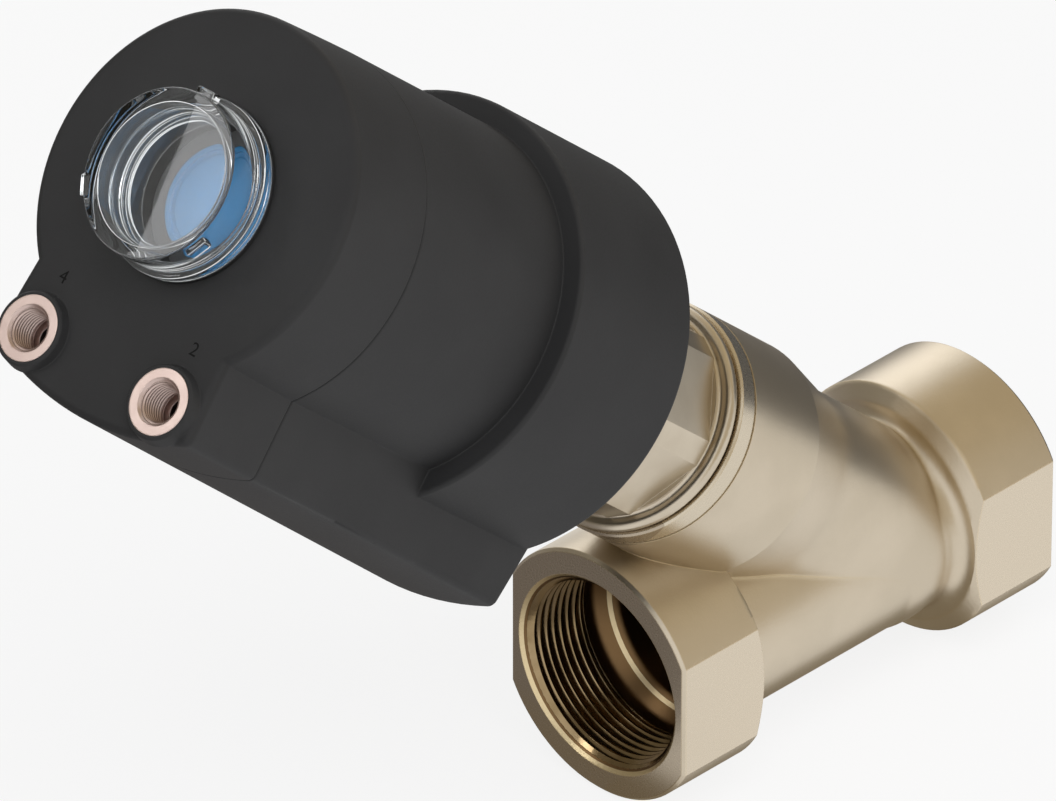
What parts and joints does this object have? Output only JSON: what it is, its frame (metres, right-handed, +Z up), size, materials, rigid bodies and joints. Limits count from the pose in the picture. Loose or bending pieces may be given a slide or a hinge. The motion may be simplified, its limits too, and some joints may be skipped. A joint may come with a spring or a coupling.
{
  "type": "pneumatic angle seat valve",
  "caption": "Angle seat valve: threaded Y-pattern metal body, and a slanted plastic piston actuator with air ports and a clear position dome.",
  "frame": {"origin": "centre of the front pipe port's mouth", "axes": "+X along the pipe from the front port to the rear port; +Z up; the stem leans over the front port, and +Y is on the side of air port 4"},
  "size_m": [0.2788, 0.0942, 0.2467],
  "materials": {
    "cast_body": "satin cast and machined",
    "turned_steel": "turned",
    "spring_steel": "drawn wire",
    "graphite": "matte",
    "ptfe": "smooth",
    "seal_rubber": "matte",
    "actuator_plastic": "fine moulded texture",
    "insert_metal": "turned",
    "clear_dome": "clear and polished",
    "grey_plastic": "smooth",
    "indicator_blue": "smooth"
  },
  "bodies": {
    "valve": {"valve_body": "cast_body", "bonnet": "turned_steel", "body_gasket": "graphite", "wiper_ring": "ptfe", "guide_bush": "ptfe", "packing_support": "turned_steel", "packing_rings": "ptfe", "packing_thrust_ring": "turned_steel", "packing_gland": "turned_steel", "upper_bush": "ptfe", "spindle_seal": "seal_rubber", "tube_retainer": "turned_steel"},
    "actuator": {"actuator_housing": "actuator_plastic", "actuator_cover": "actuator_plastic", "cover_seal": "seal_rubber", "bearing_bush": "ptfe", "tube_seal": "seal_rubber", "port_insert_2": "insert_metal", "port_insert_4": "insert_metal", "port_seal_2": "seal_rubber", "port_seal_4": "seal_rubber", "indicator_dome": "clear_dome", "dome_seal": "seal_rubber", "indicator_guide": "grey_plastic", "closing_spring": "spring_steel"},
    "stem": {"spindle": "turned_steel", "valve_plug": "turned_steel", "plug_seal": "ptfe", "plug_washer": "turned_steel", "plug_nut": "turned_steel", "piston": "actuator_plastic", "piston_seal": "seal_rubber", "piston_guide_ring": "ptfe", "piston_nut": "turned_steel", "position_indicator": "indicator_blue"}
  },
  "joints": [
    {"name": "actuator_swivel", "type": "hinge", "parent": "valve", "child": "actuator", "pos_m": [0.0835, 0, 0], "axis": [-0.7431, 0, 0.6691], "continuous": true},
    {"name": "stem_stroke", "type": "slide", "parent": "valve", "child": "stem", "axis": [-0.7431, 0, 0.6691], "range_m": [0, 0.016], "deforming": ["closing_spring"]}
  ]
}
